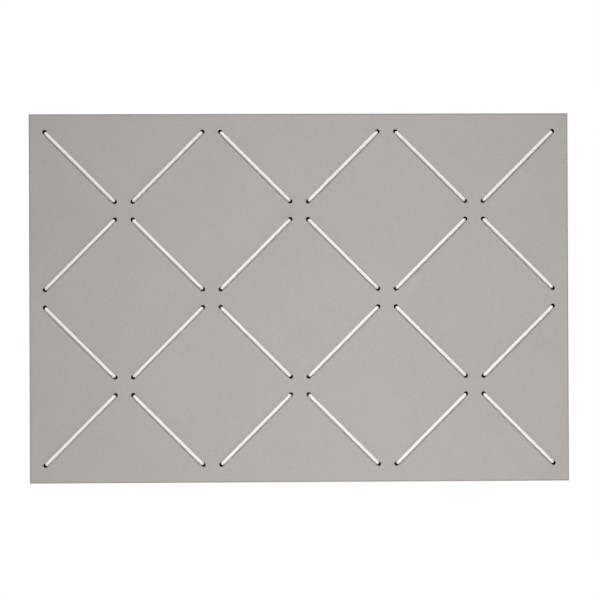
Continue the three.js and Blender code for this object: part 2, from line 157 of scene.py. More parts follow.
class Finish:
    """A material whose nodes are added one by one, each named by what it gives."""

    def __init__(self, name, **sockets):
        self.material = bpy.data.materials.new(name)
        self.material.use_nodes = True
        self.tree = self.material.node_tree
        self.shader = self.tree.nodes["Principled BSDF"]
        for socket, value in sockets.items():
            self.shader.inputs[socket.replace("_", " ")].default_value = value

    def add(self, kind, inputs, **settings):
        """Adds a node, whose inputs are values or other nodes' sockets."""
        made = self.tree.nodes.new(kind)
        for setting, value in settings.items():
            setattr(made, setting, value)
        for key, value in inputs.items():
            if isinstance(value, bpy.types.NodeSocket):
                self.tree.links.new(value, made.inputs[key])
            else:
                made.inputs[key].default_value = value
        return made

    def place(self):
        """The point's place in the model's frame, in metres."""
        return self.add("ShaderNodeTexCoord", {}).outputs["Object"]

    def split(self, vector):
        return self.add("ShaderNodeSeparateXYZ", {"Vector": vector}).outputs

    def stretched(self, vector, scale):
        """The same place measured with another unit along each axis."""
        made = self.add("ShaderNodeVectorMath", {0: vector, 1: scale}, operation="MULTIPLY")
        return made.outputs[0]

    def maths(self, operation, one, other=0.0):
        return self.add("ShaderNodeMath", {0: one, 1: other}, operation=operation).outputs[0]

    def apart(self, one, other):
        """The distance that two ways make, square to each other."""
        squares = self.maths("ADD", self.maths("POWER", one, 2.0), self.maths("POWER", other, 2.0))
        return self.maths("SQRT", squares)

    def cloud(self, vector, scale, detail=2.0, roughness=0.5, distortion=0.0):
        inputs = {
            "Vector": vector, "Scale": scale, "Detail": detail,
            "Roughness": roughness, "Distortion": distortion,
        }
        return self.add("ShaderNodeTexNoise", inputs).outputs[0]

    def grains(self, vector, scale):
        """A random value from 0 to 1 for each small cell."""
        cells = self.add("ShaderNodeTexVoronoi", {"Vector": vector, "Scale": scale})
        return self.add("ShaderNodeSeparateColor", {"Color": cells.outputs["Color"]}).outputs[0]

    def jumbled(self, vector, scale, reach):
        """The same place moved about by a fine noise, which makes outlines uneven."""
        stir = self.add("ShaderNodeTexNoise", {"Vector": vector, "Scale": scale, "Detail": 2.0})
        inputs = {0: stir.outputs["Color"], 1: (0.5,) * 3}
        centred = self.add("ShaderNodeVectorMath", inputs, operation="SUBTRACT")
        inputs = {0: centred.outputs[0], 1: (reach,) * 3, 2: vector}
        return self.add("ShaderNodeVectorMath", inputs, operation="MULTIPLY_ADD").outputs[0]

    def spread(self, value, low, high, to_low=0.0, to_high=1.0, smooth=True):
        """A value carried from one range to another, and held at its ends."""
        kind = "SMOOTHSTEP" if smooth else "LINEAR"
        inputs = {
            "Value": value, "From Min": low, "From Max": high, "To Min": to_low, "To Max": to_high,
        }
        return self.add("ShaderNodeMapRange", inputs, interpolation_type=kind).outputs["Result"]

    def blend(self, share, one, other, way="MIX"):
        """Two colours blended by a share."""
        inputs = {0: share, 6: one, 7: other}
        settings = {"data_type": "RGBA", "blend_type": way, "clamp_factor": True}
        return self.add("ShaderNodeMix", inputs, **settings).outputs[2]

    def colour(self, socket):
        self.tree.links.new(socket, self.shader.inputs["Base Color"])

    def roughness(self, socket):
        self.tree.links.new(socket, self.shader.inputs["Roughness"])

    def relief(self, height, depth):
        """Bumps as deep as said, in metres, where the height goes from 0 to 1."""
        bump = self.add("ShaderNodeBump", {"Height": height, "Strength": 1.0, "Distance": depth})
        self.tree.links.new(bump.outputs["Normal"], self.shader.inputs["Normal"])


def weighted(finish, *parts):
    """The sum of values, each times its weight."""
    total = finish.maths("MULTIPLY", parts[0][0], parts[0][1])
    for value, weight in parts[1:]:
        total = finish.maths("ADD", total, finish.maths("MULTIPLY", value, weight))
    return total


def linoleum_face_finish():
    """Matt warm grey, with fine cork grain and a painted shade line along the cut outline."""
    finish = Finish("linoleum", Roughness=0.86, Specular_IOR_Level=0.3)
    place = finish.place()
    uneven = finish.jumbled(place, 1300, 2.4 * MM)
    tone = weighted(
        finish,
        (finish.grains(uneven, 900), 0.26),
        (finish.grains(uneven, 380), 0.09),
        (finish.cloud(place, 2600, 2.0, 0.6), 0.23),
        (finish.cloud(place, 420, 3.0, 0.6), 0.2),
        (finish.cloud(place, 14, 3.0, 0.55), 0.22),
    )
    grey = finish.blend(tone, shade(159, 154.6, 151.6), shade(182, 177.6, 173.6))
    x, _, z = finish.split(place)
    from_side = finish.maths("SUBTRACT", half_width, finish.maths("ABSOLUTE", x))
    from_end = finish.maths("SUBTRACT", half_height, finish.maths("ABSOLUTE", z))
    inset = finish.maths("MINIMUM", from_side, from_end)
    # Painted shade: the grey is darkened in a thin line along the outline, standing in for the
    # shaded eased edge.
    rim = finish.spread(inset, 0.5 * MM, 1.8 * MM, 0.68, 1.0)
    painted_edge_shade = finish.add("ShaderNodeCombineColor", {0: rim, 1: rim, 2: rim}).outputs[0]
    finish.colour(finish.blend(1.0, grey, painted_edge_shade, "MULTIPLY"))
    finish.roughness(finish.spread(tone, 0.2, 0.8, 0.92, 0.8))
    finish.relief(tone, 0.05 * MM)
    return finish.material


def linoleum_cut_finish():
    """The sheet's sawn sides: coarser cork grain, and the brown jute that backs it."""
    jute_thickness, jute_blur = 0.7 * MM, 0.1 * MM
    finish = Finish("linoleum_cut", Roughness=0.92, Specular_IOR_Level=0.2)
    place = finish.place()
    uneven = finish.jumbled(place, 1300, 2.4 * MM)
    tone = weighted(
        finish, (finish.grains(uneven, 850), 0.5), (finish.cloud(place, 1500, 3.0), 0.5),
    )
    grey = finish.blend(tone, shade(146, 138, 129), shade(187, 179, 169))
    thread = finish.cloud(finish.stretched(place, (1, 4, 1)), 900, 2.0)
    jute = finish.blend(thread, shade(96, 72, 44), shade(168, 136, 92))
    jute_from = sheet_high.y - jute_thickness
    is_jute = finish.spread(finish.split(place)[1], jute_from - jute_blur, jute_from + jute_blur)
    finish.colour(finish.blend(is_jute, grey, jute))
    finish.relief(tone, 0.12 * MM)
    return finish.material


def bore_finish(name, dark, light):
    """The wall of a drilled hole, coloured dark as painted shade inside the narrow hole."""
    finish = Finish(name, Roughness=0.95, Specular_IOR_Level=0.0)
    rings = finish.cloud(finish.stretched(finish.place(), (60, 2500, 60)), 1.0, 2.0)
    finish.colour(finish.blend(rings, dark, light))
    finish.relief(rings, 0.05 * MM)
    return finish.material


def veneer_finish():
    """Rotary-cut birch: pale, with a broad watery figure and short dark flecks along the grain."""
    finish = Finish("birch_veneer", Roughness=0.62, Specular_IOR_Level=0.35)
    place = finish.place()
    figure = finish.cloud(finish.stretched(place, (2.2, 1, 16)), 1.0, 4.0, 0.55, 1.2)
    fibres = finish.cloud(finish.stretched(place, (40, 1, 1400)), 1.0, 3.0, 0.6)
    specks = finish.cloud(finish.stretched(place, (170, 1, 2200)), 1.0, 1.0)
    flecks = finish.maths("MULTIPLY", finish.spread(specks, 0.68, 0.78), 0.45)
    base = finish.blend(finish.spread(figure, 0.3, 0.7), shade(214, 186, 143), shade(233, 210, 170))
    streaked = finish.blend(finish.maths("MULTIPLY", fibres, 0.42), base, shade(193, 160, 115))
    finish.colour(finish.blend(flecks, streaked, shade(146, 108, 68)))
    finish.roughness(finish.spread(fibres, 0.3, 0.7, 0.55, 0.7))
    finish.relief(fibres, 0.05 * MM)
    return finish.material


def plies_finish():
    """The sawn edge of plywood: plies of long grain and end grain by turns, and thin glue lines."""
    ply_count, waviness = 7, 0.175
    finish = Finish("ply_edges", Roughness=0.75, Specular_IOR_Level=0.25)
    place = finish.place()
    depth = finish.split(place)[1]
    wave = finish.maths("SUBTRACT", finish.cloud(place, 25, 2.0), 0.5)
    layer = finish.spread(depth, core_low.y, core_high.y, 0.0, float(ply_count), smooth=False)
    layer = finish.maths("ADD", layer, finish.maths("MULTIPLY", wave, waviness))
    is_end = finish.maths("MODULO", finish.maths("FLOOR", layer), 2.0)
    along = finish.cloud(finish.stretched(place, (60, 2600, 60)), 1.0, 3.0, 0.6)
    across = finish.cloud(place, 1800, 2.0, 0.6)
    long_grain = finish.blend(along, shade(196, 160, 112), shade(231, 205, 162))
    end_grain = finish.blend(across, shade(138, 99, 61), shade(186, 146, 98))
    edge = finish.blend(is_end, long_grain, end_grain)
    in_ply = finish.maths("FRACT", layer)
    from_line = finish.maths("MINIMUM", in_ply, finish.maths("SUBTRACT", 1.0, in_ply))
    glue = finish.spread(from_line, 0.03, 0.09, 0.6, 0.0)
    finish.colour(finish.blend(glue, edge, shade(92, 60, 34)))
    finish.relief(finish.blend(is_end, along, across), 0.1 * MM)
    return finish.material


def pine_finish():
    """Flat-sawn pine: yearly rings round a pith outside the rail, seen as arches on its faces."""
    pith_depth, slant, wander = 40 * MM, 0.03, 30 * MM
    years_in_a_metre, good_year_share = 430.0, 3.0
    finish = Finish("pine", Roughness=0.6, Specular_IOR_Level=0.35)
    place = finish.place()
    bend = finish.cloud(finish.stretched(place, (2.2, 9, 9)), 1.0, 2.0, 0.4)
    x, y, z = finish.split(place)
    drift = finish.maths("MULTIPLY", finish.maths("SUBTRACT", bend, 0.5), wander)
    from_middle = finish.maths("SUBTRACT", finish.maths("ABSOLUTE", z), rail_middle)
    across = finish.maths("ADD", from_middle, finish.maths("MULTIPLY", x, slant))
    round_pith = finish.apart(finish.maths("ADD", y, pith_depth), across)
    years = finish.maths("MULTIPLY", finish.maths("ADD", round_pith, drift), years_in_a_metre)
    along_years = finish.add("ShaderNodeCombineXYZ", {"X": years}).outputs[0]
    good_years = finish.cloud(along_years, 0.45, 2.0)
    uneven = finish.maths("ADD", years, finish.maths("MULTIPLY", good_years, good_year_share))
    year = finish.maths("FRACT", uneven)
    rise, fall = finish.spread(year, 0.4, 0.9), finish.spread(year, 0.93, 1.0, 1.0, 0.0)
    late = finish.maths("MULTIPLY", rise, fall)
    fibres = finish.cloud(finish.stretched(place, (35, 1500, 1500)), 1.0, 3.0, 0.6)
    base = finish.blend(finish.cloud(place, 9, 2.0), shade(219, 184, 133), shade(233, 203, 156))
    ringed = finish.blend(finish.maths("MULTIPLY", late, 0.62), base, shade(176, 121, 70))
    finish.colour(finish.blend(finish.maths("MULTIPLY", fibres, 0.3), ringed, shade(190, 146, 96)))
    finish.roughness(finish.spread(late, 0.0, 1.0, 0.66, 0.5))
    finish.relief(weighted(finish, (fibres, 0.75), (late, 0.25)), 0.05 * MM)
    return finish.material


def zinc_finish(name, colour, scratches):
    """Zinc-plated steel: cloudy, with fine marks whose scale along each axis is given."""
    dulled = 0.62
    finish = Finish(name, Metallic=1.0)
    place = finish.place()
    spangle = finish.cloud(place, 260, 3.0, 0.6)
    marks = finish.cloud(finish.stretched(place, scratches), 1.0, 3.0, 0.65)
    tone = weighted(finish, (spangle, 0.5), (marks, 0.5))
    dull = tuple(dulled * part for part in colour[:3]) + (1.0,)
    finish.colour(finish.blend(finish.spread(tone, 0.3, 0.7), dull, colour))
    finish.roughness(finish.spread(tone, 0.3, 0.7, 0.5, 0.3))
    finish.relief(marks, 0.01 * MM)
    return finish.material


def felt_finish():
    """Pressed grey felt: tangled fibres with a soft nap."""
    finish = Finish(
        "felt", Roughness=0.95, Specular_IOR_Level=0.15, Sheen_Weight=0.35, Sheen_Roughness=0.6,
    )
    place = finish.place()
    tangle = finish.cloud(place, 1500, 4.0, 0.7, 2.5)
    flocks = finish.cloud(place, 420, 2.0)
    tone = weighted(finish, (tangle, 0.65), (flocks, 0.35))
    nap = finish.spread(tone, 0.3, 0.7)
    finish.colour(finish.blend(nap, shade(62, 59, 57), shade(122, 118, 114)))
    finish.relief(tangle, 0.25 * MM)
    return finish.material


def elastic_finish():
    """White braided elastic: flat yarns that pass over and under each other on two slants.

    Its UV map holds the share of the way round the cord, and the way along it in metres.
    In the holes it is darkened with painted shade.
    """
    stitches_round, stitch_length, strands_in_yarn = 8, 1.5 * MM, 4
    hole_shade_starts, hole_shade_full = 0.4 * MM, 1.8 * MM
    finish = Finish("white_elastic", Roughness=0.78, Specular_IOR_Level=0.3, Sheen_Weight=0.1)
    uv = finish.add("ShaderNodeUVMap", {}, uv_map="braid").outputs[0]
    around, along, _ = finish.split(uv)
    around = finish.maths("MULTIPLY", around, float(stitches_round))
    along = finish.maths("DIVIDE", along, stitch_length)
    one = finish.maths("ADD", along, around)
    other = finish.maths("SUBTRACT", along, around)
    in_one = finish.maths("FRACT", one)
    in_other = finish.maths("FRACT", other)
    parity = finish.maths("ADD", finish.maths("FLOOR", one), finish.maths("FLOOR", other))
    is_over = finish.maths("FLOORED_MODULO", parity, 2.0)

    def crown(value, flatness):
        """From 0 at a yarn's sides to 1 at its middle."""
        twice = finish.maths("MULTIPLY", value, 2.0)
        side = finish.maths("ABSOLUTE", finish.maths("SUBTRACT", twice, 1.0))
        return finish.maths("SUBTRACT", 1.0, finish.maths("POWER", side, flatness))

    def yarn(own, crossing):
        """A yarn's height: crowned across, and lower towards where it dips under the next ones."""
        dip = finish.spread(crown(crossing, 2.0), 0.0, 1.0, 0.45, 1.0)
        return finish.maths("MULTIPLY", crown(own, 2.2), dip)

    def on_top(one, other):
        """The value of whichever yarn lies over the other."""
        made = finish.add("ShaderNodeMix", {0: is_over, 2: one, 3: other}, data_type="FLOAT")
        return made.outputs[0]

    height = on_top(yarn(in_one, in_other), yarn(in_other, in_one))
    across = on_top(in_one, in_other)
    turn = finish.maths("MULTIPLY", across, 2 * math.pi * strands_in_yarn)
    strands = finish.maths("COSINE", turn)
    # Painted shade: the braid is darker at the yarns' sides, where they dip under, and in the
    # grooves between strands.
    tone = finish.blend(finish.spread(height, 0.0, 0.6), shade(234, 226, 223), shade(252, 245, 243))
    braid_colour = finish.blend(finish.spread(strands, 0.2, 1.0, 0.0, 0.35), tone, shade(238, 230, 226))
    # Painted shade: the cord is darkened where it runs inside the holes.
    depth = finish.split(finish.place())[1]
    below_face = finish.spread(depth, face_y + hole_shade_starts, face_y + hole_shade_full)
    above_back = finish.spread(depth, core_back - hole_shade_full, core_back - hole_shade_starts, 1.0, 0.0)
    painted_hole_shade = finish.maths("MULTIPLY", below_face, above_back)
    finish.colour(finish.blend(painted_hole_shade, braid_colour, shade(76, 71, 66)))
    finish.relief(weighted(finish, (height, 0.9), (strands, -0.05)), 0.16 * MM)
    return finish.material


def seen_plainly(finish):
    """1 for what the camera sees, straight or in a gloss, and 0 for the light on the object."""
    path = finish.add("ShaderNodeLightPath", {}).outputs
    seen = finish.maths("MAXIMUM", path["Is Camera Ray"], path["Is Glossy Ray"])
    return finish.maths("MAXIMUM", seen, path["Is Transmission Ray"])


def floor_finish():
    """A pale floor that keeps the shadow near the object and is plain white further off."""
    shadow_reach, fade = 0.35, 0.45
    finish = Finish(
        "pale_floor", Base_Color=shade(240, 240, 240), Roughness=0.9, Specular_IOR_Level=0.1,
    )
    x, y, _ = finish.split(finish.place())
    away = finish.spread(finish.apart(x, y), shadow_reach, shadow_reach + fade)
    share = finish.maths("MULTIPLY", away, seen_plainly(finish))
    glow = finish.add("ShaderNodeEmission", {"Color": (1, 1, 1, 1), "Strength": 1.0})
    inputs = {0: share, 1: finish.shader.outputs[0], 2: glow.outputs[0]}
    mixed = finish.add("ShaderNodeMixShader", inputs)
    surface = finish.tree.nodes["Material Output"].inputs["Surface"]
    finish.tree.links.new(mixed.outputs[0], surface)
    return finish.material


# Pieces


def smooth_share(value, low, high):
    """From 0 to 1 between two values, gently at both ends."""
    share = max(0.0, min(1.0, (value - low) / (high - low)))
    return share * share * (3 - 2 * share)


def finished(name, bm, materials, node, crease=CREASE):
    """Turns a mesh into a piece that stands for a CAD node and takes its finish from a slot."""
    mesh = bpy.data.meshes.new(name)
    bm.to_mesh(mesh)
    bm.free()
    for material in materials:
        mesh.materials.append(material)
    mesh.shade_smooth()
    mesh.set_sharp_from_angle(angle=crease)
    piece = bpy.data.objects.new(name, mesh)
    bpy.context.scene.collection.objects.link(piece)
    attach(piece, BODY)
    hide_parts(node)


def closed(bm, reach=MERGE):
    """Merges what meets, and turns every face outwards."""
    bmesh.ops.remove_doubles(bm, verts=bm.verts, dist=reach)
    bmesh.ops.recalc_face_normals(bm, faces=bm.faces)


def turned(bm, centre, profile, steps):
    """Turns a profile of radius and depth once round an axis along Y."""
    points = [bm.verts.new((centre.x + radius, depth, centre.z)) for radius, depth in profile]
    lines = [bm.edges.new(pair) for pair in zip(points, points[1:])]
    bmesh.ops.spin(
        bm, geom=points + lines, cent=(centre.x, 0, centre.z), axis=TO_WALL,
        angle=2 * math.pi, steps=steps, use_merge=True,
    )


def drilled(bm, places, profile, steps):
    """Turns one hole apart from the board, and sets it in at each place."""
    alone = bmesh.new()
    turned(alone, Vector(), profile, steps)
    hole = bpy.data.meshes.new("hole")
    alone.to_mesh(hole)
    alone.free()
    for place in places:
        known = set(bm.verts)
        bm.from_mesh(hole)
        bmesh.ops.translate(bm, vec=(place.x, 0, place.z), verts=list(set(bm.verts) - known))
    bpy.data.meshes.remove(hole)


def eased(arris, from_depth, into, radius):
    """Stations of a rounded rim, from the flat face round to the wall of a hole."""
    stations = [(radius + arris + BORDER, from_depth)]
    for step in range(ARRIS_STEPS + 1):
        angle = step / ARRIS_STEPS * math.pi / 2
        across = radius + arris * (1 - math.sin(angle))
        stations.append((across, from_depth + into * arris * (1 - math.cos(angle))))
    return stations


def through_hole(front, back, radius, arris):
    """Stations of a hole through a board, with a rounded rim at both faces."""
    return eased(arris, front, 1, radius) + eased(arris, back, -1, radius)[::-1]


def open_board(bm, low, high, arris, corner=0.0):
    """A board's eased sides, with its front and back left open to be filled round its holes."""
    made = bmesh.ops.create_cube(bm, size=1.0)
    bmesh.ops.scale(bm, vec=high - low, verts=made["verts"])
    bmesh.ops.translate(bm, vec=(low + high) / 2, verts=made["verts"])
    if corner:
        upright = [edge for edge in bm.edges if abs(edge.verts[0].co.y - edge.verts[1].co.y) > NEAR]
        bmesh.ops.bevel(
            bm, geom=upright, offset=corner, segments=CORNER_STEPS,
            profile=0.5, material=-1, affect="EDGES",
        )
    bm.normal_update()
    flats = [face for face in bm.faces if abs(face.normal.y) > SQUARELY]
    bmesh.ops.inset_individual(bm, faces=flats, thickness=arris + BORDER, use_even_offset=True)
    rims = [edge for edge in bm.edges if edge.is_manifold and edge.calc_face_angle() > RIM_ANGLE]
    bmesh.ops.bevel(
        bm, geom=rims, offset=arris, segments=ARRIS_STEPS, profile=0.5, material=-1, affect="EDGES",
    )
    bmesh.ops.delete(bm, geom=flats, context="FACES_ONLY")


def fill_faces(bm, *depths):
    """Fills the flat faces at these depths round everything that opens in them."""
    for depth in depths:
        rim = [
            edge for edge in bm.edges
            if edge.is_boundary and all(abs(point.co.y - depth) < NEAR for point in edge.verts)
        ]
        bmesh.ops.triangle_fill(bm, use_beauty=True, use_dissolve=False, edges=rim)


def screw_hole(screw, top, surface, bottom):
    """Stations of a countersunk hole from the surface to its bottom, for a head with this top."""
    head, shank = screw["head"] + SCREW_FIT, screw["shank"] + SCREW_FIT
    seat = top - screw["rim"]
    return [
        (head + BORDER, surface), (head, surface), (head, seat),
        (shank, seat - (screw["head"] - screw["shank"])), (shank, bottom), (shank + BORDER, bottom),
    ]


def pilot_hole(screw, top, surface):
    """Stations of a blind hole for a screw's point."""
    shank, bottom = screw["shank"] + SCREW_FIT, top - screw["length"] - SCREW_FIT
    return [
        (shank + BORDER, surface), (shank, surface), (shank, bottom + screw["tip"]), (0, bottom),
    ]


# The drilled sheets


def hole_at(column, row, across, down):
    """The place of a hole at a node's corner, where across and down are -1 or 1."""
    left = -half_width + SIDE_MARGIN - GAP / 2 + column * (cell_width + GAP)
    top = half_height - TOP_MARGIN + GAP / 2 - row * (cell_height + GAP)
    return Vector((left + across * GAP / 2, 0, top - down * GAP / 2))


def stretches_from(column):
    """Every stretch of a cord from a top corner on, as pairs of holes, bouncing off the sides."""
    row, across, down = 0, 1 if column == 0 else -1, 1
    stretches = []
    while True:
        here = hole_at(column, row, across, down)
        column, row = column + across, row + down
        stretches.append((here, hole_at(column, row, -across, -down)))
        at_side, at_end = column in (0, COLUMNS), row in (0, ROWS)
        if at_side and at_end:
            return stretches
        across, down = -across if at_side else across, -down if at_end else down


def make_sheet():
    """The linoleum, sawn to size and drilled."""
    # The dark colours of the hole walls are painted shade.
    sheet_bore = bore_finish("linoleum_bore", shade(14, 12, 11), shade(34, 30, 27))
    bm = bmesh.new()
    open_board(bm, sheet_low, sheet_high, SHEET_ARRIS)
    drilled(bm, holes, through_hole(sheet_low.y, sheet_high.y, HOLE_RADIUS, HOLE_ARRIS), HOLE_STEPS)
    fill_faces(bm, sheet_low.y, sheet_high.y)
    closed(bm)
    face_sides(bm, sheet_low, sheet_high)
    finished(
        "linoleum_sheet", bm, [linoleum_face_finish(), linoleum_cut_finish(), sheet_bore],
        "linoleum_face",
    )


def face_sides(bm, low, high):
    """Gives outer sides the second finish, and the walls of holes with their arrises the third."""
    side_tilt = 0.6
    for face in bm.faces:
        middle = face.calc_center_median()
        inside = low.x + MM < middle.x < high.x - MM and low.z + MM < middle.z < high.z - MM
        if abs(face.normal.y) < (SQUARELY if inside else side_tilt):
            face.material_index = 2 if inside else 1


def make_core():
    """The plywood behind it, with the same holes and pilot holes for the rails' screws."""
    bm = bmesh.new()
    open_board(bm, core_low, core_high, CORE_ARRIS)
    drilled(bm, holes, through_hole(core_low.y, core_high.y, HOLE_RADIUS, HOLE_ARRIS), HOLE_STEPS)
    pilots = list(rail_screws.values())
    drilled(bm, pilots, pilot_hole(RAIL_SCREW, pilots[0].y, core_back), SCREW_STEPS)
    fill_faces(bm, core_low.y, core_high.y)
    closed(bm)
    face_sides(bm, core_low, core_high)
    # The dark colours of the hole walls are painted shade.
    core_bore = bore_finish("ply_bore", shade(52, 34, 20), shade(104, 74, 46))
    finished(
        "plywood_core", bm, [veneer_finish(), plies_finish(), core_bore], "core_panel",
    )


# Rails, plates, screws and pads


def within(screws, low, high):
    """The screws that stand in a piece's box."""
    return [top for top in screws.values() if low.x < top.x < high.x and low.z < top.z < high.z]


def make_rail(node):
    """A batten on the back, bored for its own screws and for those of the plates."""
    low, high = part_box(node)
    bm = bmesh.new()
    open_board(bm, low, high, RAIL_ARRIS)
    bores = within(rail_screws, low, high)
    drilled(bm, bores, screw_hole(RAIL_SCREW, bores[0].y, high.y, low.y), SCREW_STEPS)
    for pilot in within(plate_screws, low, high):
        drilled(bm, [pilot], pilot_hole(PLATE_SCREW, pilot.y, high.y), SCREW_STEPS)
    fill_faces(bm, low.y, high.y)
    closed(bm)
    finished(node.replace("batten", "rail"), bm, [pine], node)


def only(kind, items):
    """The items of one kind among those that an operator gives back."""
    return [item for item in items if isinstance(item, kind)]


def keyhole_loop(bm, centre, grow, depth):
    """The keyhole's outline, widened by an amount, from two arcs and the lines between them."""
    entry, slot = ENTRY_RADIUS + grow, SLOT_HALF + grow
    opening = math.asin(slot / entry)
    low = Vector((centre.x, depth, centre.z - ENTRY_DROP))
    high = Vector((centre.x, depth, centre.z + SLOT_RISE))
    first = bm.verts.new(low + Matrix.Rotation(opening, 3, "Y") @ Vector((0, 0, entry)))
    second = bm.verts.new(high - Vector((slot, 0, 0)))
    edges = []
    arcs = []
    for start, middle, turn, steps in (
        (first, low, 2 * math.pi - 2 * opening, ENTRY_STEPS), (second, high, math.pi, SLOT_STEPS),
    ):
        before = set(bm.edges)
        made = bmesh.ops.spin(bm, geom=[start], cent=middle, axis=TO_WALL, angle=turn, steps=steps)
        edges += [edge for edge in bm.edges if edge not in before]
        arcs.append((start, only(bmesh.types.BMVert, made["geom_last"])[0]))
    edges.append(bm.edges.new((arcs[0][1], arcs[1][0])))
    edges.append(bm.edges.new((arcs[1][1], arcs[0][0])))
    return edges


def make_plate(side):
    """A keyhole plate with round corners and two countersunk holes."""
    node = f"hanger_plate_{side}"
    low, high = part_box(node)
    middle = (low + high) / 2
    bm = bmesh.new()
    open_board(bm, low, high, PLATE_ARRIS, PLATE_CORNER)
    flare = through_hole(low.y, high.y, 0.0, PLATE_ARRIS)[1:-1]
    loops = [keyhole_loop(bm, middle, grow, depth) for grow, depth in flare]
    for one, other in zip(loops, loops[1:]):
        bmesh.ops.bridge_loops(bm, edges=one + other)
    for loop in (loops[0], loops[-1]):
        border = bmesh.ops.extrude_edge_only(bm, edges=loop)["geom"]
        points = only(bmesh.types.BMVert, border)
        wider = (KEYHOLE_BORDER, 1, KEYHOLE_BORDER)
        bmesh.ops.scale(bm, vec=wider, space=Matrix.Translation(-middle), verts=points)
    bores = within(plate_screws, low, high)
    drilled(bm, bores, screw_hole(PLATE_SCREW, bores[0].y, high.y, low.y), SCREW_STEPS)
    fill_faces(bm, low.y, high.y)
    closed(bm)
    finished(f"keyhole_plate_{side}", bm, [plate_steel], node)


def make_screw(name, node, screw, top):
    """A countersunk wood screw with a cross recess and a thread."""
    bm = bmesh.new()
    head, shank, seat = screw["head"], screw["shank"], top.y - screw["rim"]
    root = THREAD_ROOT * shank
    neck = seat - (head - shank)
    point = top.y - screw["length"]
    flat = head - HEAD_EDGE
    profile = [
        (flat - BORDER, top.y), (flat, top.y), (head, top.y - HEAD_EDGE), (head, seat),
        (shank, neck), (shank, neck - PLAIN_NECK), (root, neck - THREAD_START),
        (root, point + screw["tip"]), (0, point),
    ]
    turned(bm, top, profile, SCREW_STEPS)
    cut_cross(bm, screw, top)
    fill_faces(bm, top.y)
    closed(bm)
    wind_thread(bm, top, root, shank, neck - THREAD_START, point + THREAD_END * screw["tip"])
    finished(name, bm, [screw_steel], node, SCREW_CREASE)


def cut_cross(bm, screw, top):
    """The walls and floor of a cross-shaped recess, open at the head's top."""
    half, reach = screw["recess_width"] / 2, screw["recess_span"] / 2
    lying = Matrix.Translation(top) @ Matrix.Rotation(math.pi / 2, 4, "X")
    known = set(bm.faces)
    bmesh.ops.create_grid(bm, x_segments=1, y_segments=1, size=half, matrix=lying)
    square = [face for face in bm.faces if face not in known][0]
    for edge in list(square.edges):
        out = ((edge.verts[0].co + edge.verts[1].co) / 2 - top).normalized()
        grown = bmesh.ops.extrude_edge_only(bm, edges=[edge])
        points = only(bmesh.types.BMVert, grown["geom"])
        bmesh.ops.translate(bm, vec=out * (reach - half), verts=points)
    cross = [face for face in bm.faces if face not in known]
    for depth, keep in RECESS_STEPS:
        lowered = bmesh.ops.extrude_face_region(bm, geom=cross)
        bmesh.ops.delete(bm, geom=[face for face in cross if face.is_valid], context="FACES")
        cross = only(bmesh.types.BMFace, lowered["geom"])
        points = only(bmesh.types.BMVert, lowered["geom"])
        bmesh.ops.scale(bm, vec=(keep, 1, keep), space=Matrix.Translation(-top), verts=points)
        bmesh.ops.translate(bm, vec=-TO_WALL * depth * screw["recess_depth"], verts=points)


def wind_thread(bm, top, root, crest, start, end):
    """A thread: a three-cornered ridge wound round the shank, thinning out at its point."""
    turns = (start - end) / THREAD_PITCH
    foot = root - THREAD_SUNK
    section = [(foot, THREAD_RIDGE / 2), (crest, 0), (foot, -THREAD_RIDGE / 2)]
    points = [bm.verts.new((top.x + across, start + along, top.z)) for across, along in section]
    known = {*bm.verts, *bm.faces} - set(points)
    face = bm.faces.new(points)
    bmesh.ops.spin(
        bm, geom=[face, *face.edges, *points], cent=top, axis=TO_WALL,
        dvec=-TO_WALL * THREAD_PITCH / THREAD_STEPS,
        angle=2 * math.pi * turns, steps=int(turns * THREAD_STEPS),
    )
    for point in set(bm.verts) - known:
        axis = Vector((top.x, point.co.y, top.z))
        fade = smooth_share(point.co.y, end, end + THREAD_FADE)
        point.co = axis + (point.co - axis) * (THREAD_THINNEST + (1 - THREAD_THINNEST) * fade)
    bmesh.ops.recalc_face_normals(bm, faces=list(set(bm.faces) - known))


def make_pad(node):
    """A punched disc of felt, a little uneven all over and soft at its edge."""
    low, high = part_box(node)
    middle, radius = (low + high) / 2, (high.x - low.x) / 2
    bm = bmesh.new()
    profile = [(share * (radius - FELT_ROUND), high.y) for share in FELT_RINGS]
    for depth, turn in ((high.y, 1), (low.y, -1)):
        arc = []
        for step in range(FELT_ROUND_STEPS + 1):
            angle = step / FELT_ROUND_STEPS * math.pi / 2
            across = radius - FELT_ROUND * (1 - math.sin(angle))
            arc.append((across, depth - turn * FELT_ROUND * (1 - math.cos(angle))))
        profile += arc if turn > 0 else arc[::-1]
    profile.append((0, low.y))
    turned(bm, middle, profile, FELT_STEPS)
    closed(bm)
    for point in bm.verts:
        if point.co.y > low.y + NEAR:
            lump = sum(noise.noise(point.co * scale) * height for scale, height in FELT_LUMPS)
            out = Vector((point.co.x - middle.x, 0, point.co.z - middle.z))
            at_edge = out.length > FELT_EDGE * radius
            point.co += out.normalized() * lump if at_edge else Vector((0, -abs(lump), 0))
    finished(node.replace("wall", "felt"), bm, [felt], node)


# The cords


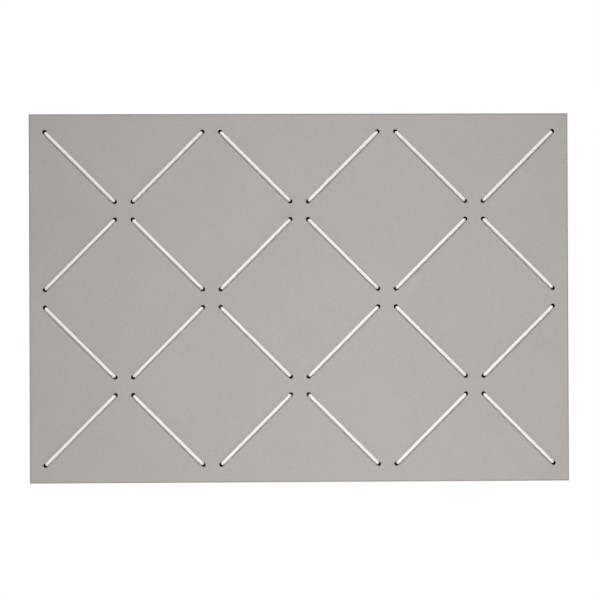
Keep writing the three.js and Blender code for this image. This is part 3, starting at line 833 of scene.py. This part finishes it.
def knot_points(hole):
    """The points of a corner's knot, from its tail's tip to its lead, and the way the lead goes."""
    outwards = Vector((math.copysign(1, hole.x), 0, 0))
    side = TO_WALL.cross(outwards)

    def lobe(turn):
        across = KNOT_RING + KNOT_LOBE * math.cos(3 * turn)
        return (
            outwards * across * math.cos(2 * turn) + side * across * math.sin(2 * turn)
            + TO_WALL * KNOT_HALF_HEIGHT * math.sin(3 * turn)
        )

    first, last = math.pi / 6, 11 * math.pi / 6
    turns = [first + (last - first) * step / KNOT_STEPS for step in range(KNOT_STEPS + 1)]
    lobes = [lobe(turn) for turn in turns]
    tiny = 1e-4
    lead = (lobe(last) - lobe(last - tiny)).normalized()
    tail = (lobe(first) - lobe(first + tiny)).normalized()
    centre = hole - lobes[-1] - lead * (KNOT_LEAD + KNOT_REACH)
    centre.y = back_line + KNOT_HALF_HEIGHT
    places = [centre + point for point in lobes]
    tip = [
        places[0] + tail * KNOT_TAIL * share + TAIL_DROOP * KNOT_TAIL * share ** 2
        for share in TAIL_SHARES
    ]
    return tip + places, lead


def taut_line(corners):
    """Straight runs between corners, each given as a place and a bend radius, with round bends."""
    line = [corners[0][0]]
    for (before, _), (corner, radius), (after, _) in zip(corners, corners[1:], corners[2:]):
        arrive, leave = (corner - before), (after - corner)
        turn = arrive.angle(leave)
        if turn < LEAST_TURN:
            continue
        room = BEND_ROOM * min(arrive.length, leave.length)
        setback = min(radius * math.tan(turn / 2), room)
        bend = setback / math.tan(turn / 2)
        start, end = corner - arrive.normalized() * setback, corner + leave.normalized() * setback
        inward = (leave.normalized() - arrive.normalized()).normalized()
        centre = corner + inward * bend / math.cos(turn / 2)
        axis = arrive.cross(leave).normalized()
        count = max(2, math.ceil(turn / BEND_STEP))
        for step in range(count + 1):
            spoke = Matrix.Rotation(turn * step / count, 3, axis) @ (start - centre)
            line.append(centre + spoke)
    line.append(corners[-1][0])
    return line


def sunk(hole, front_side, back_side):
    """The corners of the way down a hole: at its near rim, inside it, and at its far rim."""

    def at(depth, side, bend):
        return Vector((hole.x, depth, hole.z)) + side * (HOLE_RADIUS - FLAT_HALF), bend

    return [
        at(front_line, front_side, RIM_BEND), at(face_y + HUG_DEPTH, front_side, INNER_BEND),
        at(face_y + SWELL_DEPTH, Vector(), INNER_BEND), at(back_line, back_side, RIM_BEND),
    ]


def cord_corners(stretches, first_side, last_side):
    """The corners of a cord's whole way between its two knots, each with its bend radius."""
    headings = [(end - start).normalized() for start, end in stretches]
    corners = sunk(stretches[0][0], headings[0], first_side)[::-1]
    pairs = zip(stretches, stretches[1:], headings, headings[1:])
    for (_, end), (after, _), heading, next_heading in pairs:
        behind = (after - end).normalized()
        corners += sunk(end, -heading, behind)
        if behind.x * behind.z > NEAR:
            over = (end + after) / 2
            over.y = back_line + 2 * CORD_RADIUS - 2 * PRESS
            corners.append((over, CROSSING_BEND))
        corners += sunk(after, next_heading, -behind)[::-1]
    return corners + sunk(stretches[-1][1], -headings[-1], last_side)


def pressed_rims(stretches, first_side, last_side):
    """Where the cord bends over a rim of a hole, each with the way that it goes on from there."""
    rims = []
    behind = [(after - end).normalized() for (_, end), (after, _) in zip(stretches, stretches[1:])]
    arriving, leaving = [-first_side, *behind], [*behind, last_side]
    for (start, end), before, after in zip(stretches, arriving, leaving):
        ahead = (end - start).normalized()
        for hole, front_side, back_side in ((start, ahead, -before), (end, -ahead, after)):
            for depth, side in ((face_y, front_side), (core_back, back_side)):
                rims.append((Vector((hole.x, depth, hole.z)) + side * HOLE_RADIUS, side))
    return rims


def stepped(line):
    """The same line with its long runs cut into short steps."""
    fine = [line[0]]
    for before, after in zip(line, line[1:]):
        if (after - before).length < NEAR:
            continue
        limit = LONG_STEP if abs(after.y - before.y) < NEAR else SHORT_STEP
        count = math.ceil((after - before).length / limit)
        fine += [before.lerp(after, step / count) for step in range(1, count + 1)]
    return fine


def cord_line(stretches):
    """The cord's centre line, how many of its points each knot has, and the rims that press it."""
    (first, _), (_, last) = stretches[0], stretches[-1]
    (head, head_lead), (foot, foot_lead) = knot_points(first), knot_points(last)
    corners = cord_corners(stretches, -head_lead, -foot_lead)
    laced = stepped(taut_line([(head[-1], 0), *corners, (foot[-1], 0)]))
    rims = pressed_rims(stretches, -head_lead, -foot_lead)
    return head[:-1] + laced + foot[:-1][::-1], len(head) - 1, len(foot) - 1, rims


def lengths_along(line):
    """How far along the line each of its points lies."""
    total, along = 0.0, [0.0]
    for before, after in zip(line, line[1:]):
        total += (after - before).length
        along.append(total)
    return along


def cord_radii(line, along, head_count, foot_count):
    """Slack in the knots, thin where stretched, squeezed at the rims and swollen between them."""
    knot_end, knot_start = along[head_count], along[-1 - foot_count]
    radii = []
    for place, at in zip(line, along):
        in_hole = (
            smooth_share(place.y, front_line, face_y + SQUEEZE_REACH)
            * smooth_share(-place.y, -back_line, -core_back + SQUEEZE_REACH)
        )
        radius = CORD_RADIUS + (SQUEEZED_RADIUS - CORD_RADIUS) * in_hole
        from_swell = abs(place.y - face_y - SWELL_DEPTH)
        radius += (SWOLLEN_RADIUS - radius) * smooth_share(-from_swell, -SWELL_REACH, 0)
        into_knot = max(knot_end - at, at - knot_start)
        slack = smooth_share(into_knot, SLACK_FROM, SLACK_TO)
        radii.append(radius + (SLACK_RADIUS - radius) * slack)
    return radii


def sealed_end(line, radii, backwards):
    """Rounds off a cut end: the stations of a cap beyond the line's first point, or its last."""
    tip, inner = (line[-1], line[-2]) if backwards else (line[0], line[1])
    out = (tip - inner).normalized()
    radius = radii[-1] if backwards else radii[0]
    cap = []
    for step in range(1, CAP_STEPS + 1):
        angle = step / CAP_STEPS * math.pi / 2
        cap.append((tip + out * radius * CAP_BULGE * math.sin(angle), radius * math.cos(angle)))
    return cap


def flattened(offset, ahead, side, radius, share):
    """A point of the cord's round section, pressed flat against a rim by a share."""
    across = TO_WALL.cross(side)
    across = (across - ahead * across.dot(ahead)).normalized()
    inwards = across.cross(ahead)
    wider, flatter = WIDE_HALF / radius - 1, FLAT_HALF / radius - 1
    return offset + share * (
        across * offset.dot(across) * wider + inwards * offset.dot(inwards) * flatter
    )


def wrap(bm, line, radii, rims):
    """Bends a grid round a line, a row at each point, and flattens it where a rim presses it."""
    nearest = kdtree.KDTree(len(rims))
    for index, (rim, _) in enumerate(rims):
        nearest.insert(rim, index)
    nearest.balance()
    bm.verts.ensure_lookup_table()
    columns = CORD_SIDES + 1
    up, before = None, None
    for row, (place, radius) in enumerate(zip(line, radii)):
        ahead = line[min(row + 1, len(line) - 1)] - line[max(row - 1, 0)]
        ahead.normalize()
        if up is None:
            up = ahead.orthogonal().normalized()
        else:
            up = before.rotation_difference(ahead) @ up
            up = (up - ahead * up.dot(ahead)).normalized()
        side = ahead.cross(up)
        before = ahead
        _, index, distance = nearest.find(place)
        share = smooth_share(-distance, -FLAT_REACH, -FLAT_FROM)
        for column in range(columns):
            angle = 2 * math.pi * column / CORD_SIDES
            offset = (up * math.cos(angle) + side * math.sin(angle)) * radius
            if share and radius > FLAT_HALF:
                offset = flattened(offset, ahead, rims[index][1], radius, share)
            bm.verts[row * columns + column].co = place + offset


def make_cord(name, node, stretches):
    """A braided cord from knot to knot, with a UV map for the braid."""
    line, head_count, foot_count, rims = cord_line(stretches)
    radii = cord_radii(line, lengths_along(line), head_count, foot_count)
    head, foot = sealed_end(line, radii, False), sealed_end(line, radii, True)
    line = [place for place, _ in head[::-1]] + line + [place for place, _ in foot]
    radii = [radius for _, radius in head[::-1]] + radii + [radius for _, radius in foot]
    along, rows = lengths_along(line), len(line) - 1
    bm = bmesh.new()
    braid = bm.loops.layers.uv.new("braid")
    bmesh.ops.create_grid(bm, x_segments=CORD_SIDES, y_segments=rows, size=0.5, calc_uvs=True)
    wrap(bm, line, radii, rims)
    for face in bm.faces:
        for loop in face.loops:
            share = loop[braid].uv
            loop[braid].uv = (share.x, along[round(share.y * rows)])
    closed(bm, SEAM)
    print(name, "is", round(along[-1] / MM), "mm long, with", len(bm.faces), "faces")
    finished(name, bm, [elastic], node, CORD_CREASE)


# The model

cell_width = (2 * half_width - 2 * SIDE_MARGIN - (COLUMNS - 1) * GAP) / COLUMNS
cell_height = (2 * half_height - 2 * TOP_MARGIN - (ROWS - 1) * GAP) / ROWS
front_line = face_y - CORD_RADIUS + PRESS
back_line = core_back + CORD_RADIUS - PRESS
cord_stretches = {"a": stretches_from(0), "b": stretches_from(COLUMNS)}
holes = [hole for stretches in cord_stretches.values() for pair in stretches for hole in pair]


def screw_tops(kind):
    """The middle of each screw's head, by the rest of the screw's name."""
    tops = {}
    for node in sorted(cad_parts):
        if node.startswith(kind):
            low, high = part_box(node)
            middle = (low + high) / 2
            tops[node.removeprefix(kind)] = Vector((middle.x, high.y, middle.z))
    return tops


rail_screws, plate_screws = screw_tops("batten_screw_"), screw_tops("hanger_screw_")
rail_low, rail_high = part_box("batten_bottom")
rail_middle = -(rail_low.z + rail_high.z) / 2

pine = pine_finish()
plate_steel = zinc_finish("plate_zinc", shade(190, 194, 199), (25, 25, 1900))
screw_steel = zinc_finish("screw_zinc", shade(196, 197, 198), (900, 900, 900))
felt = felt_finish()
elastic = elastic_finish()

make_sheet()
make_core()
for node in sorted(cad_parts):
    if node.startswith("batten_") and "screw" not in node:
        make_rail(node)
    if node.startswith("wall_pad"):
        make_pad(node)
for side in ("left", "right"):
    make_plate(side)
for name, top in rail_screws.items():
    make_screw(f"rail_screw_{name}", f"batten_screw_{name}", RAIL_SCREW, top)
for name, top in plate_screws.items():
    make_screw(f"plate_screw_{name}", f"hanger_screw_{name}", PLATE_SCREW, top)
for name, stretches in cord_stretches.items():
    make_cord(f"elastic_{name}", f"elastic_cord_{name}", stretches)

# Camera

FOCAL_LENGTH, SEEN_TO = 85, 50
CAMERA_PLACE = Vector((-0.0235, -1.6061, -0.0077))
CAMERA_PITCH, CAMERA_YAW, CAMERA_ROLL = (math.radians(angle) for angle in (0.192, -0.872, 0.232))

camera_data = bpy.data.cameras.new("camera")
camera_data.lens, camera_data.clip_end = FOCAL_LENGTH, SEEN_TO
camera = bpy.data.objects.new("camera", camera_data)
camera.matrix_world = (
    Matrix.Translation(CAMERA_PLACE)
    @ Matrix.Rotation(CAMERA_YAW, 4, "Z") @ Matrix.Rotation(CAMERA_PITCH, 4, "X")
    @ Matrix.Rotation(CAMERA_ROLL, 4, "Y") @ Matrix.Rotation(math.pi / 2, 4, "X")
)
bpy.context.scene.collection.objects.link(camera)
bpy.context.scene.camera = camera

# Lights, floor and backdrop


def soft_light(name, place, aim, size, power, spread=180):
    """A square lamp, itself unseen, that shines on a point. Its spread is its beam's angle."""
    data = bpy.data.lights.new(name, "AREA")
    data.shape, data.size, data.energy, data.spread = "SQUARE", size, power, math.radians(spread)
    lamp = bpy.data.objects.new(name, data)
    lamp.location = place
    lamp.rotation_euler = (Vector(aim) - Vector(place)).to_track_quat("-Z", "Y").to_euler()
    lamp.visible_camera = False
    bpy.context.scene.collection.objects.link(lamp)


soft_light("over_face", (0.03, -1.75, 1.55), (0.15, face_y, -0.34), 0.28, 4.0, 60)
soft_light("before_face", (-0.03, -0.85, -0.12), (-0.03, face_y, -0.08), 0.35, 1.2)
soft_light("over_back", (-0.6, 1.1, 1.0), (0, 0, 0), 0.7, 8)
soft_light("behind_back", (0.7, 1.3, 0.1), (0, 0, 0), 0.6, 4)
soft_light("at_left", (-1.5, 0.4, 0.25), (0, 0, 0), 0.5, 5)
soft_light("at_right", (1.5, 0.4, 0.25), (0, 0, 0), 0.5, 5)

FLOOR_LEVEL, FLOOR_RADIUS, FLOOR_STEPS = -0.5, 9.0, 96
floor_bm = bmesh.new()
bmesh.ops.create_circle(
    floor_bm, cap_ends=True, segments=FLOOR_STEPS, radius=FLOOR_RADIUS,
    matrix=Matrix.Translation((0, 0, FLOOR_LEVEL)),
)
floor_mesh = bpy.data.meshes.new("floor")
floor_bm.to_mesh(floor_mesh)
floor_bm.free()
floor_mesh.materials.append(floor_finish())
floor = bpy.data.objects.new("floor", floor_mesh)
bpy.context.scene.collection.objects.link(floor)

world = bpy.data.worlds.new("backdrop")
world.use_nodes = True
bpy.context.scene.world = world


class Backdrop(Finish):
    """The world's nodes, added in the same way."""

    def __init__(self, tree):
        self.tree = tree


AMBIENT = 0.33
backdrop = Backdrop(world.node_tree)
strength = backdrop.spread(seen_plainly(backdrop), 0.0, 1.0, AMBIENT, 1.0, smooth=False)
sky = world.node_tree.nodes["Background"]
sky.inputs["Color"].default_value = (1, 1, 1, 1)
world.node_tree.links.new(strength, sky.inputs["Strength"])

bpy.context.scene.view_settings.view_transform = "Standard"
